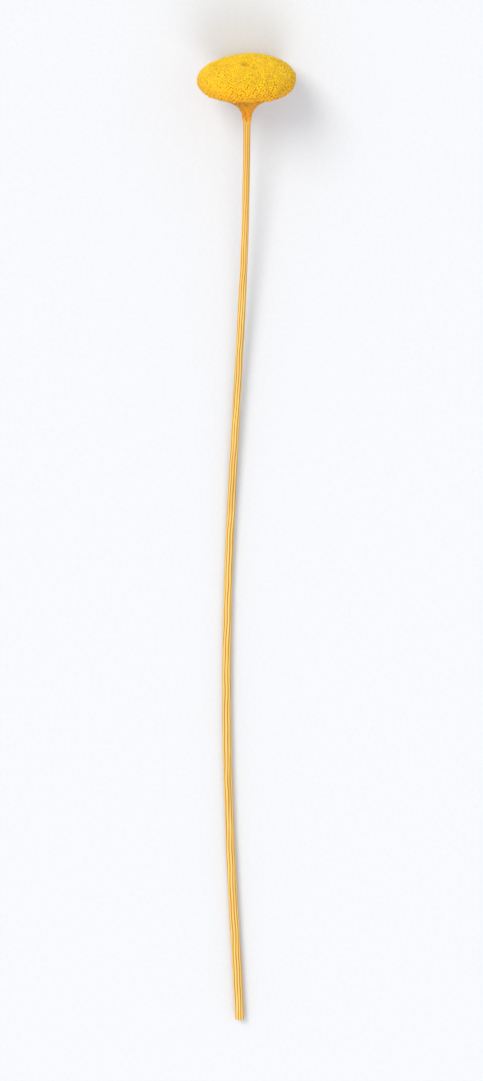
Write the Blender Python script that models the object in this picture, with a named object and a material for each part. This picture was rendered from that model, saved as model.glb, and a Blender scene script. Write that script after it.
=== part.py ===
"""One dried, dyed button-flower stem, cut and laid down on a surface.

A ribbed stem carries a funnel of small overlapping bracts, and the funnel carries the head: a
flattened button of many florets, domed, with a dimple in its middle and a thick rim.

Metres, +Z up. The surface is z = 0, the stem lies along X with its head at +X, and the middle of
the whole part's box stands over the origin. The head rests on a small flat on its rim, and the
lower part of the stem lies on the surface.
"""
import math

import bmesh
import bpy
import numpy as np
from mathutils import Matrix, Vector
from mathutils.geometry import delaunay_2d_cdt

OBJECT_NAME = "billy_buttons_stem"
MM = 0.001
TURN = 2.0 * math.pi
GOLDEN_ANGLE = math.pi * (3.0 - math.sqrt(5.0))

# Whole part: about 300 mm long with its head
STEM_SPAN = 282.5 * MM
GAP = 0.3 * MM
NOD = math.radians(8.0)

# Head, in its own frame: its axis is +Z and its widest plane is z = 0
HEAD_DIAMETER = 28.0 * MM
DOME_HEIGHT = 4.2 * MM
DOME_FULLNESS = 2.6
RIM_DEPTH = 2.7 * MM
RIM_TUCK = 1.3 * MM
DIMPLE_DEPTH = 1.3 * MM
DIMPLE_RADIUS = 1.4 * MM
HEAD_OVAL = 0.018
HEAD_OVAL_TURN = 1.9
HEAD_LOBES = 0.012
HEAD_LOBES_TURN = 0.7
HEAD_SADDLE = 0.45 * MM
HEAD_SADDLE_TURN = 0.6
PRESSED = 0.65 * MM

# Florets, finer at the middle of the dome than on the rim. Reliefs and shifts are shares of the
# spacing
FLORET_SPACING_MIDDLE = 0.90 * MM
FLORET_SPACING_RIM = 1.25 * MM
FLORET_RELIEF = 0.40
SHIFT = 0.15
LEAST_HUB_HEIGHT = 0.5
SEED = 41

# Involucre. The bracts at the neck have a smaller spacing than those on the cup
CUP_RADIUS = 12.3 * MM
NECK_RADIUS = 1.25 * MM
NECK_DEPTH = 12.0 * MM
FUNNEL_POWER = 2.0
BRACT_SPACING_NECK = 0.9 * MM
BRACT_SPACING_CUP = 1.5 * MM
BRACT_RELIEF = 0.28
BRACT_LEAN = 0.45

# Stem
STEM_RADIUS_AT_NECK = 1.0 * MM
STEM_RADIUS_AT_CUT = 1.45 * MM
STEM_FLARE = 0.15 * MM
STEM_FLARE_LENGTH = 4.0 * MM
STEM_TAPER_POWER = 0.8
STEM_SIDE_BOW = 6.0 * MM
STEM_BOW_WAVES = 0.8
STEM_TWIST = math.radians(200.0)
STEM_STATIONS = 58
RIBS = 9
RIB_DEPTH = 0.14

PROFILE_POINTS = 240
# Area of a hexagonal cell over its spacing squared
HEX_CELL = math.sqrt(3.0) / 2.0

# Linear RGB
FLORET_YELLOW = (0.91, 0.52, 0.035)
BRACT_ORANGE = (0.76, 0.27, 0.012)
STEM_STRAW = (0.84, 0.50, 0.13)


class Profile:
    """A turned outline: radius and height from its start to its end.

    along is the distance walked, and unrolled is the sum of each step over its radius. Drawn on a
    flat plane at exp(unrolled) from the middle, the turned surface keeps its angles.
    """

    def __init__(self, radius, height):
        steps = np.hypot(np.diff(radius), np.diff(height))
        middle = 0.5 * (radius[1:] + radius[:-1])
        self.radius = radius
        self.height = height
        self.starts_on_axis = radius[0] < 0.5 * MM
        self.along = np.concatenate(([0.0], np.cumsum(steps)))
        self.unrolled = np.concatenate(([0.0], np.cumsum(steps / middle)))
        self.radius_slope = np.gradient(radius, self.along)
        self.height_slope = np.gradient(height, self.along)

    def point(self, along, angle, lift):
        """The point at that distance and angle, lifted off the surface along its normal."""
        radius_slope = np.interp(along, self.along, self.radius_slope)
        height_slope = np.interp(along, self.along, self.height_slope)
        radius = np.interp(along, self.along, self.radius) - lift * height_slope
        height = np.interp(along, self.along, self.height) + lift * radius_slope
        return Vector((radius * math.cos(angle), radius * math.sin(angle), height))


def head_profile():
    """From the middle of the dimple over the dome and the rim to the flat underside."""
    crown = 0.5 * HEAD_DIAMETER - 0.5 * FLORET_RELIEF * FLORET_SPACING_RIM
    sweep = np.linspace(0.0, 0.5 * math.pi, PROFILE_POINTS)
    dome_radius = crown * np.sin(sweep) ** (2.0 / DOME_FULLNESS)
    dome_height = DOME_HEIGHT * np.cos(sweep)
    dome_height -= DIMPLE_DEPTH * np.exp(-(dome_radius / DIMPLE_RADIUS) ** 2)
    rim_radius = crown - RIM_TUCK * (1.0 - np.cos(sweep[1:]))
    rim_height = -RIM_DEPTH * np.sin(sweep[1:])
    return Profile(np.concatenate((dome_radius, rim_radius)), np.concatenate((dome_height, rim_height)))


def cup_profile():
    """From the cup's top edge down the funnel to the end of the neck."""
    climb = np.linspace(1.0, 0.0, PROFILE_POINTS)
    top = -RIM_DEPTH - GAP
    radius = NECK_RADIUS + (CUP_RADIUS - NECK_RADIUS) * climb ** FUNNEL_POWER
    height = -NECK_DEPTH + (top + NECK_DEPTH) * climb
    return Profile(radius, height)


def floret_spacing(radius):
    """Distance between florets at that radius on the head."""
    share = (2.0 * radius / HEAD_DIAMETER) ** 2
    return FLORET_SPACING_MIDDLE + (FLORET_SPACING_RIM - FLORET_SPACING_MIDDLE) * share


def bract_spacing(radius):
    """Distance between bracts, which are full size from halfway out on the cup."""
    share = np.minimum(2.0 * radius / CUP_RADIUS, 1.0)
    return BRACT_SPACING_NECK + (BRACT_SPACING_CUP - BRACT_SPACING_NECK) * share


def hubs_on_spiral(profile, spacing):
    """Unrolled distance and angle of each floret or bract, a golden angle on from the last.

    The spiral moves out by one hexagonal cell's area at each step, so the cells stay even, and it
    keeps half a spacing away from the edge rings. A small shift of each one, drawn from a fixed
    seed, takes the machine look away.
    """
    cell_area = HEX_CELL * spacing(profile.radius) ** 2
    cells_per_step = TURN * profile.radius / cell_area
    steps = 0.5 * (cells_per_step[1:] + cells_per_step[:-1]) * np.diff(profile.along)
    cells = np.concatenate(([0.0], np.cumsum(steps)))
    start = 0.0 if profile.starts_on_axis else 0.5 * spacing(profile.radius[0])
    end = profile.along[-1] - 0.5 * spacing(profile.radius[-1])
    first, last = np.interp((start, end), profile.along, cells)
    wanted = np.arange(first + 0.5, last, 1.0)
    along = np.interp(wanted, cells, profile.along)
    radius = np.interp(along, profile.along, profile.radius)
    size = SHIFT * spacing(radius) / np.maximum(radius, spacing(radius))
    shift = np.random.default_rng(SEED).uniform(-1.0, 1.0, (2, len(wanted))) * size
    unrolled = np.interp(along, profile.along, profile.unrolled)
    return unrolled + shift[0], GOLDEN_ANGLE * np.arange(len(wanted)) + shift[1]


def edge_ring(profile, spacing, end):
    """Unrolled distance and angles of the ring of points that closes one end of a profile."""
    count = round(TURN * profile.radius[end] / spacing(profile.radius[end]))
    return np.full(count, profile.unrolled[end]), np.arange(count) * TURN / count


def spiral_net(profile, spacing):
    """A flat net of small fans, one for each floret or bract, with its hubs and furrow points.

    The hubs are joined to their neighbours by triangles. The middle of each triangle becomes a
    furrow point, and each edge between two hubs is turned across, to run between furrow points.
    """
    parts = [hubs_on_spiral(profile, spacing), edge_ring(profile, spacing, -1)]
    hub_count = len(parts[0][0])
    if not profile.starts_on_axis:
        parts.append(edge_ring(profile, spacing, 0))
    unrolled = np.concatenate([part[0] for part in parts])
    angle = np.concatenate([part[1] for part in parts])
    reach = np.exp(unrolled - profile.unrolled[-1])
    points = [Vector(pair) for pair in zip(reach * np.cos(angle), reach * np.sin(angle))]
    corners, _, triangles, origins, _, _ = delaunay_2d_cdt(points, [], [], 0, 1e-7)

    net = bmesh.new()
    vertices = [net.verts.new((corner.x, corner.y, 0.0)) for corner in corners]
    hubs = {vertex for vertex, origin in zip(vertices, origins) if origin[0] < hub_count}
    for triangle in triangles:
        net.faces.new([vertices[index] for index in triangle])
    across = [edge for edge in net.edges if hubs.issuperset(edge.verts)]
    round_hubs = [face for face in net.faces if not hubs.isdisjoint(face.verts)]
    furrows = set(bmesh.ops.poke(net, faces=round_hubs)["verts"])
    bmesh.ops.rotate_edges(net, edges=across)
    return net, hubs, furrows


def uneven(point):
    """Makes a turned head oval and a little lobed, and its dome a little saddle-shaped."""
    angle = math.atan2(point.y, point.x)
    oval = HEAD_OVAL * math.cos(2.0 * angle + HEAD_OVAL_TURN)
    lobes = HEAD_LOBES * math.cos(3.0 * angle + HEAD_LOBES_TURN)
    swell = 1.0 + oval + lobes
    height_share = max(0.0, (point.z + RIM_DEPTH) / (DOME_HEIGHT + RIM_DEPTH))
    radius_share = math.hypot(point.x, point.y) / (0.5 * HEAD_DIAMETER)
    saddle = HEAD_SADDLE * math.cos(2.0 * angle + HEAD_SADDLE_TURN)
    rise = saddle * height_share * radius_share ** 2
    return Vector((point.x * swell, point.y * swell, point.z + rise))


def covered_mesh(name, profile, spacing, relief, lean=0.0):
    """A closed turned body covered with florets or bracts.

    Each hub stands up to half the relief proud of the profile and each furrow lies half of it
    below. A lean moves the hubs back along the profile, so that they overlap like scales.
    """
    net, hubs, furrows = spiral_net(profile, spacing)
    random = np.random.default_rng(SEED)
    for vertex in net.verts:
        angle = math.atan2(vertex.co.y, vertex.co.x)
        unrolled = math.log(max(vertex.co.length, 1e-9)) + profile.unrolled[-1]
        along = np.interp(unrolled, profile.unrolled, profile.along)
        size = spacing(np.interp(along, profile.along, profile.radius))
        lift = 0.0
        if vertex in hubs:
            lift = 0.5 * relief * size * random.uniform(LEAST_HUB_HEIGHT, 1.0)
            along = max(along - lean * size, 0.0)
        elif vertex in furrows:
            lift = -0.5 * relief * size
        vertex.co = uneven(profile.point(along, angle, lift))
    bmesh.ops.holes_fill(net, edges=net.edges[:])
    bmesh.ops.triangulate(net, faces=[face for face in net.faces if len(face.verts) > 3])
    bmesh.ops.recalc_face_normals(net, faces=net.faces[:])
    mesh = bpy.data.meshes.new(name)
    net.to_mesh(mesh)
    net.free()
    return mesh


def press_on_surface(mesh, placing):
    """Lifts each point that would sink below z = 0 straight up to it, which leaves a flat."""
    back = placing.inverted()
    for vertex in mesh.vertices:
        point = placing @ vertex.co
        if point.z < 0.0:
            vertex.co = back @ Vector((point.x, point.y, 0.0))


def stem_radius(distance):
    """Radius of the stem at that distance below the neck: it thickens towards the cut end."""
    share = (distance / STEM_SPAN) ** STEM_TAPER_POWER
    flare = STEM_FLARE * math.exp(-distance / STEM_FLARE_LENGTH)
    return STEM_RADIUS_AT_NECK + (STEM_RADIUS_AT_CUT - STEM_RADIUS_AT_NECK) * share + flare


def stem_section(helpers):
    """The ribbed outline of a stem of one millimetre's radius, as a closed curve to sweep."""
    curve = bpy.data.curves.new("stem_section", "CURVE")
    curve.dimensions = "2D"
    spline = curve.splines.new("POLY")
    count = 2 * RIBS
    spline.points.add(count - 1)
    for index in range(count):
        angle = -TURN * index / count
        reach = MM if index % 2 == 0 else MM * (1.0 - RIB_DEPTH)
        spline.points[index].co = (reach * math.cos(angle), reach * math.sin(angle), 0.0, 1.0)
    spline.use_cyclic_u = True
    section = bpy.data.objects.new("stem_section", curve)
    section.hide_render = True
    section.display_type = "WIRE"
    helpers.objects.link(section)
    return section


def stem_curve(start, section):
    """The stem, swept from the neck down to the surface and along it, with a slow bow and twist.

    It leaves the neck along the head's axis. A parabola takes it down until its underside meets
    the surface, and from there it lies on it.
    """
    drop = start.z - stem_radius(0.0)
    landing = 2.0 * drop / math.tan(NOD)
    curve = bpy.data.curves.new("stem", "CURVE")
    curve.dimensions = "3D"
    curve.resolution_u = 1
    curve.render_resolution_u = 0
    curve.use_fill_caps = True
    curve.bevel_mode = "OBJECT"
    curve.bevel_object = section
    spline = curve.splines.new("POLY")
    spline.points.add(STEM_STATIONS - 1)
    for index, point in enumerate(spline.points):
        share = index / (STEM_STATIONS - 1)
        distance = share * STEM_SPAN
        radius = stem_radius(distance)
        bow = 0.5 * STEM_SIDE_BOW * (1.0 - math.cos(STEM_BOW_WAVES * TURN * share))
        height = radius + drop * max(0.0, 1.0 - distance / landing) ** 2
        point.co = (start.x - distance, start.y + bow, height, 1.0)
        point.radius = radius / MM
        point.tilt = STEM_TWIST * share
    return bpy.data.objects.new("stem", curve)


def material(name, colour, roughness):
    """A matt plant surface in that colour."""
    made = bpy.data.materials.new(name)
    made.use_nodes = True
    shader = made.node_tree.nodes["Principled BSDF"]
    shader.inputs["Base Color"].default_value = (*colour, 1.0)
    shader.inputs["Roughness"].default_value = roughness
    shader.inputs["Metallic"].default_value = 0.0
    return made


def centre_over_origin(root, pieces):
    """Moves the whole part in X and Y so that the middle of its box stands over the origin."""
    bpy.context.view_layer.update()
    depsgraph = bpy.context.evaluated_depsgraph_get()
    points = []
    for piece in pieces:
        seen = piece.evaluated_get(depsgraph)
        points += [seen.matrix_world @ vertex.co for vertex in seen.to_mesh().vertices]
        seen.to_mesh_clear()
    for axis in (0, 1):
        places = [point[axis] for point in points]
        root.location[axis] -= 0.5 * (min(places) + max(places))


def build():
    """Builds the three pieces, hangs them on their empties and centres the part."""
    for old in list(bpy.data.objects):
        bpy.data.objects.remove(old, do_unlink=True)
    parts = bpy.data.collections.new(OBJECT_NAME)
    helpers = bpy.data.collections.new(OBJECT_NAME + "_helpers")
    for collection in (parts, helpers):
        bpy.context.scene.collection.children.link(collection)

    root = bpy.data.objects.new("part_origin", None)
    head_axis = bpy.data.objects.new("head_axis", None)
    head_turn = 0.5 * math.pi - NOD
    head_centre = Vector((0.0, 0.0, 0.5 * HEAD_DIAMETER * math.cos(NOD) - PRESSED))
    head_axis.location = head_centre
    head_axis.rotation_euler.y = head_turn
    head_axis.parent = root
    placing = Matrix.Translation(head_centre) @ Matrix.Rotation(head_turn, 4, "Y")

    florets = covered_mesh("floret_head", head_profile(), floret_spacing, FLORET_RELIEF)
    press_on_surface(florets, placing)
    floret_head = bpy.data.objects.new("floret_head", florets)
    bracts = covered_mesh("involucre", cup_profile(), bract_spacing, BRACT_RELIEF, BRACT_LEAN)
    involucre = bpy.data.objects.new("involucre", bracts)
    for piece in (floret_head, involucre):
        piece.data.shade_smooth()
        piece.parent = head_axis

    neck_end = placing @ Vector((0.0, 0.0, -NECK_DEPTH - GAP))
    stem = stem_curve(neck_end, stem_section(helpers))
    stem.parent = root

    floret_head.data.materials.append(material("dyed_florets", FLORET_YELLOW, 0.85))
    involucre.data.materials.append(material("dyed_bracts", BRACT_ORANGE, 0.75))
    stem.data.materials.append(material("dried_stem", STEM_STRAW, 0.6))
    for item in (root, head_axis, floret_head, involucre, stem):
        parts.objects.link(item)
    centre_over_origin(root, (floret_head, involucre, stem))


build()
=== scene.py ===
"""The looks of one dried, dyed billy buttons stem that lies on a pale floor.

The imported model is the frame: a ribbed scape along X, a funnel of bracts and a flattened button of
florets at +X. Each of its three solids is replaced here by finer pieces of the same form. All
lengths are metres, and +Z is up.
"""

import logging
import math
from abc import ABC, abstractmethod
from collections.abc import Callable, Mapping, Sequence
from dataclasses import dataclass, field
from enum import Enum

import bpy
import numpy as np
from mathutils import Matrix, Vector
from numpy.typing import NDArray


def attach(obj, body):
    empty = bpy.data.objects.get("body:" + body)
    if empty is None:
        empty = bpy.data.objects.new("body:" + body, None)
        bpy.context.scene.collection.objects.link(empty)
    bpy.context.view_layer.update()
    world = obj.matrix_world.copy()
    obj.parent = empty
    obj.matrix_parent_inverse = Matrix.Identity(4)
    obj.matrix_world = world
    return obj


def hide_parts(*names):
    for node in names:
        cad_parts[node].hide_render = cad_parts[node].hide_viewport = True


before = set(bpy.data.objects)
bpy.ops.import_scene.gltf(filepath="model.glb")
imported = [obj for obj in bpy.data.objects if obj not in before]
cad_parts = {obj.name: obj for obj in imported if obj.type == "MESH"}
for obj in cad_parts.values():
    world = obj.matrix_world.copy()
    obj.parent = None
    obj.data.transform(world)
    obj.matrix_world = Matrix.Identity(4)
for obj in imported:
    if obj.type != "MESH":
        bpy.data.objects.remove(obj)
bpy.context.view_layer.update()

LOG = logging.getLogger("billy_buttons_stem")

Array = NDArray[np.float64]
# Points, one a row, and blocks of faces. A block is a table of point numbers, one face a row
Skin = tuple[Array, Sequence[NDArray[np.int64]]]
# Distances along a profile, and angles about its axis
Spots = tuple[Array, Array]
# Two numbers, often the least and the greatest of a random draw
Pair = tuple[float, float]
Random = np.random.Generator
Material = bpy.types.Material
Piece = bpy.types.Object
Socket = bpy.types.NodeSocket
# What goes into a node, by the input's name or number: another node's output, or a value
Inputs = Mapping[str | int, Socket | float | Sequence[float]]

MM = 0.001
TURN = 2.0 * math.pi
GOLDEN_ANGLE = math.pi * (3.0 - math.sqrt(5.0))
# Area of a hexagonal cell over its spacing squared
HEX_CELL = math.sqrt(3.0) / 2.0
PROFILE_POINTS = 240

# Sockets of a Mix node that is set to colours
MIX_FACTOR = 0
MIX_A = 6
MIX_B = 7
MIX_RESULT = 2
# Inputs of a Map Range node: its value, the range that it has and the range that it gets
MAP_RANGE = ("Value", "From Min", "From Max", "To Min", "To Max")


def unit(vectors: Array) -> Array:
    """Returns the vectors, one a row, at length one."""
    return vectors / np.linalg.norm(vectors, axis=-1, keepdims=True)


def turns(sides: int) -> Array:
    """Returns the angles of that many even steps round a full turn."""
    return TURN * np.arange(sides) / sides


def raised(angle: float) -> Array:
    """Returns the direction (cos a, 0, sin a), at an angle a over +X."""
    return np.array((math.cos(angle), 0.0, math.sin(angle)))


def spokes(forth: Array, side: Array, turn: Array) -> Array:
    """Returns cos t forth + sin t side, for each pair of directions and each turn t."""
    return np.cos(turn)[..., None] * forth[:, None] + np.sin(turn)[..., None] * side[:, None]


def closed_bodies(starts: Array, rings: Array, ends: Array) -> Skin:
    """Skins many closed bodies at once, each a start point, a stack of rings and an end point.

    Point (k, j) of a body is side j of its ring k. A wall face joins (k, j), (k, j + 1),
    (k + 1, j + 1) and (k + 1, j), and a fan of triangles closes each end. The faces point outwards
    where a ring runs anticlockwise as seen from the body's end.

    Args:
        starts: One start point a body, as a table of bodies by 3.
        rings: The ring points, as bodies by rings by sides by 3.
        ends: One end point a body, as a table of bodies by 3.

    Returns:
        The skin, body after body.
    """
    bodies, levels, sides, _ = rings.shape
    size = levels * sides + 2
    points = np.concatenate(
        (starts[:, None], rings.reshape(bodies, -1, 3), ends[:, None]), axis=1
    )
    ring = 1 + np.arange(levels * sides).reshape(levels, sides)
    ahead = np.roll(ring, -1, axis=1)
    walls = np.stack((ring[:-1], ahead[:-1], ahead[1:], ring[1:]), axis=-1).reshape(-1, 4)
    first = np.stack((ahead[0], ring[0], np.zeros_like(ring[0])), axis=-1)
    last = np.stack((ring[-1], ahead[-1], np.full_like(ring[-1], size - 1)), axis=-1)
    caps = np.concatenate((first, last))
    offsets = size * np.arange(bodies)[:, None, None]
    faces = [(walls + offsets).reshape(-1, 4), (caps + offsets).reshape(-1, 3)]
    return points.reshape(-1, 3), faces


def mesh_piece(name: str, skin: Skin, finish: Material, values: Mapping[str, Array]) -> Piece:
    """Makes one smooth mesh object at the origin, with its place in its points.

    Args:
        name: The piece's name.
        skin: Its points and faces.
        finish: Its material.
        values: Point attributes by name: one number or three for each point.

    Returns:
        The object, linked to the scene.
    """
    points, faces = skin
    mesh = bpy.data.meshes.new(name)
    corners = np.concatenate([block.ravel() for block in faces])
    totals = np.concatenate([np.full(len(block), block.shape[1]) for block in faces])
    mesh.vertices.add(len(points))
    mesh.vertices.foreach_set("co", points.astype(np.float32).ravel())
    mesh.loops.add(len(corners))
    mesh.loops.foreach_set("vertex_index", corners.astype(np.int32))
    mesh.polygons.add(len(totals))
    mesh.polygons.foreach_set("loop_start", (np.cumsum(totals) - totals).astype(np.int32))
    mesh.update(calc_edges=True)
    mesh.shade_smooth()
    for key, value in values.items():
        is_vector = value.ndim == 2
        made = mesh.attributes.new(key, "FLOAT_VECTOR" if is_vector else "FLOAT", "POINT")
        made.data.foreach_set("vector" if is_vector else "value", value.astype(np.float32).ravel())
    mesh.materials.append(finish)
    piece = bpy.data.objects.new(name, mesh)
    bpy.context.scene.collection.objects.link(piece)
    LOG.info("%s: %d points, %d faces", name, len(points), len(totals))
    return piece


def stand_for(node: str, slot: str, *pieces: Piece) -> None:
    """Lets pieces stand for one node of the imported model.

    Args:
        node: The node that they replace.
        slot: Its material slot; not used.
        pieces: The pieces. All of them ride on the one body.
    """
    for piece in pieces:
        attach(piece, "root")
        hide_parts(node)


@dataclass
class TurnedShape:
    """A profile turned about +Z, walked from its start to its end.

    Attributes:
        radius: Distance from the axis at each point of the profile.
        height: Height at each point.
        along: Distance walked to each point.
    """

    radius: Array
    height: Array
    along: Array = field(init=False)

    def __post_init__(self) -> None:
        """Works out the distances walked."""
        steps = np.hypot(np.diff(self.radius), np.diff(self.height))
        self.along = np.concatenate(([0.0], np.cumsum(steps)))

    def radius_at(self, along: Array) -> Array:
        """Returns the radius at those distances along the profile."""
        return np.interp(along, self.along, self.radius)

    def share(self, along: Array) -> Array:
        """Returns those distances as shares of the whole profile."""
        return along / self.along[-1]

    def directions(self, along: Array, angle: Array) -> tuple[Array, Array, Array]:
        """Gives the directions on to the end, round the axis and out of the surface.

        Onward is (r' cos a, r' sin a, h'), round is (-sin a, cos a, 0) and outward is
        (-h' cos a, -h' sin a, r'), where r' and h' are the slopes and a is the angle.

        Args:
            along: Distances along the profile.
            angle: Angles about the axis.

        Returns:
            Three tables of directions, one a row.
        """
        radius_slope, height_slope = (
            np.interp(along, self.along, np.gradient(curve, self.along))
            for curve in (self.radius, self.height)
        )
        length = np.hypot(radius_slope, height_slope)
        radius_slope, height_slope = radius_slope / length, height_slope / length
        cosine, sine = np.cos(angle), np.sin(angle)
        onward = np.stack((radius_slope * cosine, radius_slope * sine, height_slope), axis=-1)
        around = np.stack((-sine, cosine, np.zeros_like(sine)), axis=-1)
        outward = np.stack((-height_slope * cosine, -height_slope * sine, radius_slope), axis=-1)
        return onward, around, outward

    def leaning(self, spots: Spots, lean: float, random: Random) -> tuple[Array, ...]:
        """Draws the direction in which something grows out of the surface at each spot.

        It is outward plus the lean times two normal draws, one of onward and one of round.

        Args:
            spots: Where it grows.
            lean: How far it leans.
            random: The source of the draws.

        Returns:
            Onward, round and outward, and the direction that leans.
        """
        onward, around, outward = self.directions(*spots)
        drawn = lean * random.standard_normal((2, len(onward), 1))
        return onward, around, outward, unit(outward + drawn[0] * onward + drawn[1] * around)

    def place(self, along: Array, angle: Array, lift: Array | float) -> Array:
        """Gives points of the turned surface, lifted off it along its outward direction.

        Args:
            along: Distances along the profile.
            angle: Angles about the axis.
            lift: Distances off the surface.

        Returns:
            The points, with 3 as the last size of the table.
        """
        radius = self.radius_at(along)
        height = np.interp(along, self.along, self.height)
        on_surface = np.stack((radius * np.cos(angle), radius * np.sin(angle), height), axis=-1)
        outward = self.directions(along, angle)[2]
        return on_surface + np.asarray(lift)[..., None] * outward

    def spiral(self, spacing: Callable[[Array], Array], shift: float, random: Random) -> Spots:
        """Spreads cells evenly over the surface, each a golden angle on from the last.

        The count of cells grows by 2 pi r over a hexagonal cell's area for each step walked. Cell
        k lies where that count passes k + 1/2, at k golden angles, with a small random shift.

        Args:
            spacing: Gives the distance between cells at a radius.
            shift: The greatest shift, as a share of the spacing.
            random: The source of the shifts.

        Returns:
            The cells' spots.
        """
        density = TURN * self.radius / (HEX_CELL * spacing(self.radius) ** 2)
        grown = 0.5 * (density[1:] + density[:-1]) * np.diff(self.along)
        cells = np.concatenate(([0.0], np.cumsum(grown)))
        wanted = np.arange(0.5, cells[-1], 1.0)
        along = np.interp(wanted, cells, self.along)
        radius = self.radius_at(along)
        size = shift * spacing(radius)
        along += size * random.uniform(-1.0, 1.0, len(wanted))
        turn = size / np.maximum(radius, spacing(radius)) * random.uniform(-1.0, 1.0, len(wanted))
        return np.clip(along, 0.0, self.along[-1]), GOLDEN_ANGLE * np.arange(len(wanted)) + turn

    def scatter(self, count: int, random: Random) -> Spots:
        """Draws spots at random, as many on each patch of the surface as its area asks.

        Args:
            count: How many.
            random: The source of the draws.

        Returns:
            The spots.
        """
        bands = 0.5 * (self.radius[1:] + self.radius[:-1]) * np.diff(self.along)
        area = np.concatenate(([0.0], np.cumsum(bands)))
        along = np.interp(random.uniform(0.0, area[-1], count), area, self.along)
        return along, random.uniform(0.0, TURN, count)

    def body(self, sides: int, sink: float) -> Skin:
        """Turns the profile, sunk a little below its surface, into one closed body.

        Ring k is the profile's point k at the angles -2 pi j / sides. The start and end points lie
        on the axis, at the height of the first and the last ring.

        Args:
            sides: How many sides the body has.
            sink: How far below the surface it lies.

        Returns:
            The skin.
        """
        inner = slice(1, -1) if self.radius[0] < sink else slice(None)
        along, angle = np.meshgrid(self.along[inner], -turns(sides), indexing="ij")
        rings = self.place(along, angle, -sink)
        first = np.array((0.0, 0.0, rings[0, :, 2].mean()))
        last = np.array((0.0, 0.0, rings[-1, :, 2].mean()))
        return closed_bodies(first[None], rings[None], last[None])


@dataclass(frozen=True)
class HeadForm:
    """The forms that the head grew in, about its own axis, with its widest plane at z = 0.

    Attributes:
        diameter: Width of the head over its florets.
        relief: Height of the florets' crowns over their middle surface, on the rim.
        dome_height: Height of the dome over the widest plane.
        dome_fullness: How full the dome is: 2 would be an ellipse.
        rim_depth: How far the rim hangs below the widest plane.
        rim_tuck: How far the rim draws in on its way down.
        dimple_depth: Depth of the dimple in the middle.
        dimple_radius: Where the dimple has faded to a third.
        oval, oval_turn: Share by which the head is oval, and where round it that starts.
        lobed, lobed_turn: The same for its three low lobes.
        saddle, saddle_turn: The same for the rise and fall of the dome's edge, a distance.
        cup_radius: Radius of the funnel under the head.
        cup_gap: Distance between the rim and the solid funnel.
        neck_radius: Radius of the funnel at its narrow end.
        neck_depth: Depth of that end below the widest plane.
        funnel_power: How late the funnel opens.
        cup_reach: How far past the solid funnel's edge the bracts go, as a share of its height.
        tail: How far the funnel runs on into the stem.
        tail_sink: How far its radius shrinks on that way.
    """

    diameter: float = 28.0 * MM
    relief: float = 0.25 * MM
    dome_height: float = 4.2 * MM
    dome_fullness: float = 2.6
    rim_depth: float = 2.7 * MM
    rim_tuck: float = 1.3 * MM
    dimple_depth: float = 1.3 * MM
    dimple_radius: float = 1.4 * MM
    oval: float = 0.018
    oval_turn: float = 1.9
    lobed: float = 0.012
    lobed_turn: float = 0.7
    saddle: float = 0.45 * MM
    saddle_turn: float = 0.6
    cup_radius: float = 12.3 * MM
    cup_gap: float = 0.3 * MM
    neck_radius: float = 1.25 * MM
    neck_depth: float = 12.0 * MM
    funnel_power: float = 2.0
    cup_reach: float = 0.02
    tail: float = 2.0 * MM
    tail_sink: float = 0.35 * MM

    def dome(self) -> TurnedShape:
        """Draws the florets' middle surface, from the dimple over the dome and round the rim.

        The dome is a fuller ellipse less a bell-shaped dimple, and the rim a quarter ellipse.

        Returns:
            The surface.
        """
        crown = 0.5 * self.diameter - self.relief
        sweep = np.linspace(0.0, 0.5 * math.pi, PROFILE_POINTS)
        dome_radius = crown * np.sin(sweep) ** (2.0 / self.dome_fullness)
        dimple = self.dimple_depth * np.exp(-((dome_radius / self.dimple_radius) ** 2))
        dome_height = self.dome_height * np.cos(sweep) - dimple
        rim_radius = crown - self.rim_tuck * (1.0 - np.cos(sweep[1:]))
        rim_height = -self.rim_depth * np.sin(sweep[1:])
        radius = np.concatenate((dome_radius, rim_radius))
        return TurnedShape(radius, np.concatenate((dome_height, rim_height)))

    def cup(self) -> TurnedShape:
        """Draws the funnel, from just under the rim down to the neck and on into the stem.

        At a share c of its height its radius is the neck's plus the rest times c to a power. At a
        share t of its tail it is the neck's less the sink times t squared.

        Returns:
            The surface.
        """
        climb = np.linspace(1.0 + self.cup_reach, 0.0, PROFILE_POINTS)
        widening = (self.cup_radius - self.neck_radius) * climb**self.funnel_power
        top = -self.rim_depth - self.cup_gap
        height = -self.neck_depth + (top + self.neck_depth) * climb
        sunk = np.linspace(0.0, 1.0, PROFILE_POINTS // 8)[1:]
        radius = np.concatenate((widening, -self.tail_sink * sunk**2)) + self.neck_radius
        return TurnedShape(radius, np.concatenate((height, -self.neck_depth - self.tail * sunk)))

    def uneven(self, points: Array) -> Array:
        """Makes turned points, one a row, oval and a little lobed, and the dome's edge wavy.

        x and y swell by oval cos(2a + turn) + lobed cos(3a + turn). z rises by saddle
        cos(2a + turn), times the share of the head's height and the share of its radius squared.

        Args:
            points: The points about the head's axis.

        Returns:
            The points that they move to.
        """
        angle = np.arctan2(points[:, 1], points[:, 0])
        swell = 1.0 + self.oval * np.cos(2.0 * angle + self.oval_turn)
        swell += self.lobed * np.cos(3.0 * angle + self.lobed_turn)
        above = (points[:, 2] + self.rim_depth) / (self.dome_height + self.rim_depth)
        reach = np.hypot(points[:, 0], points[:, 1]) / (0.5 * self.diameter)
        wave = self.saddle * np.cos(2.0 * angle + self.saddle_turn)
        rise = wave * np.maximum(above, 0.0) * reach**2
        return np.stack((points[:, 0] * swell, points[:, 1] * swell, points[:, 2] + rise), axis=-1)


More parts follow.
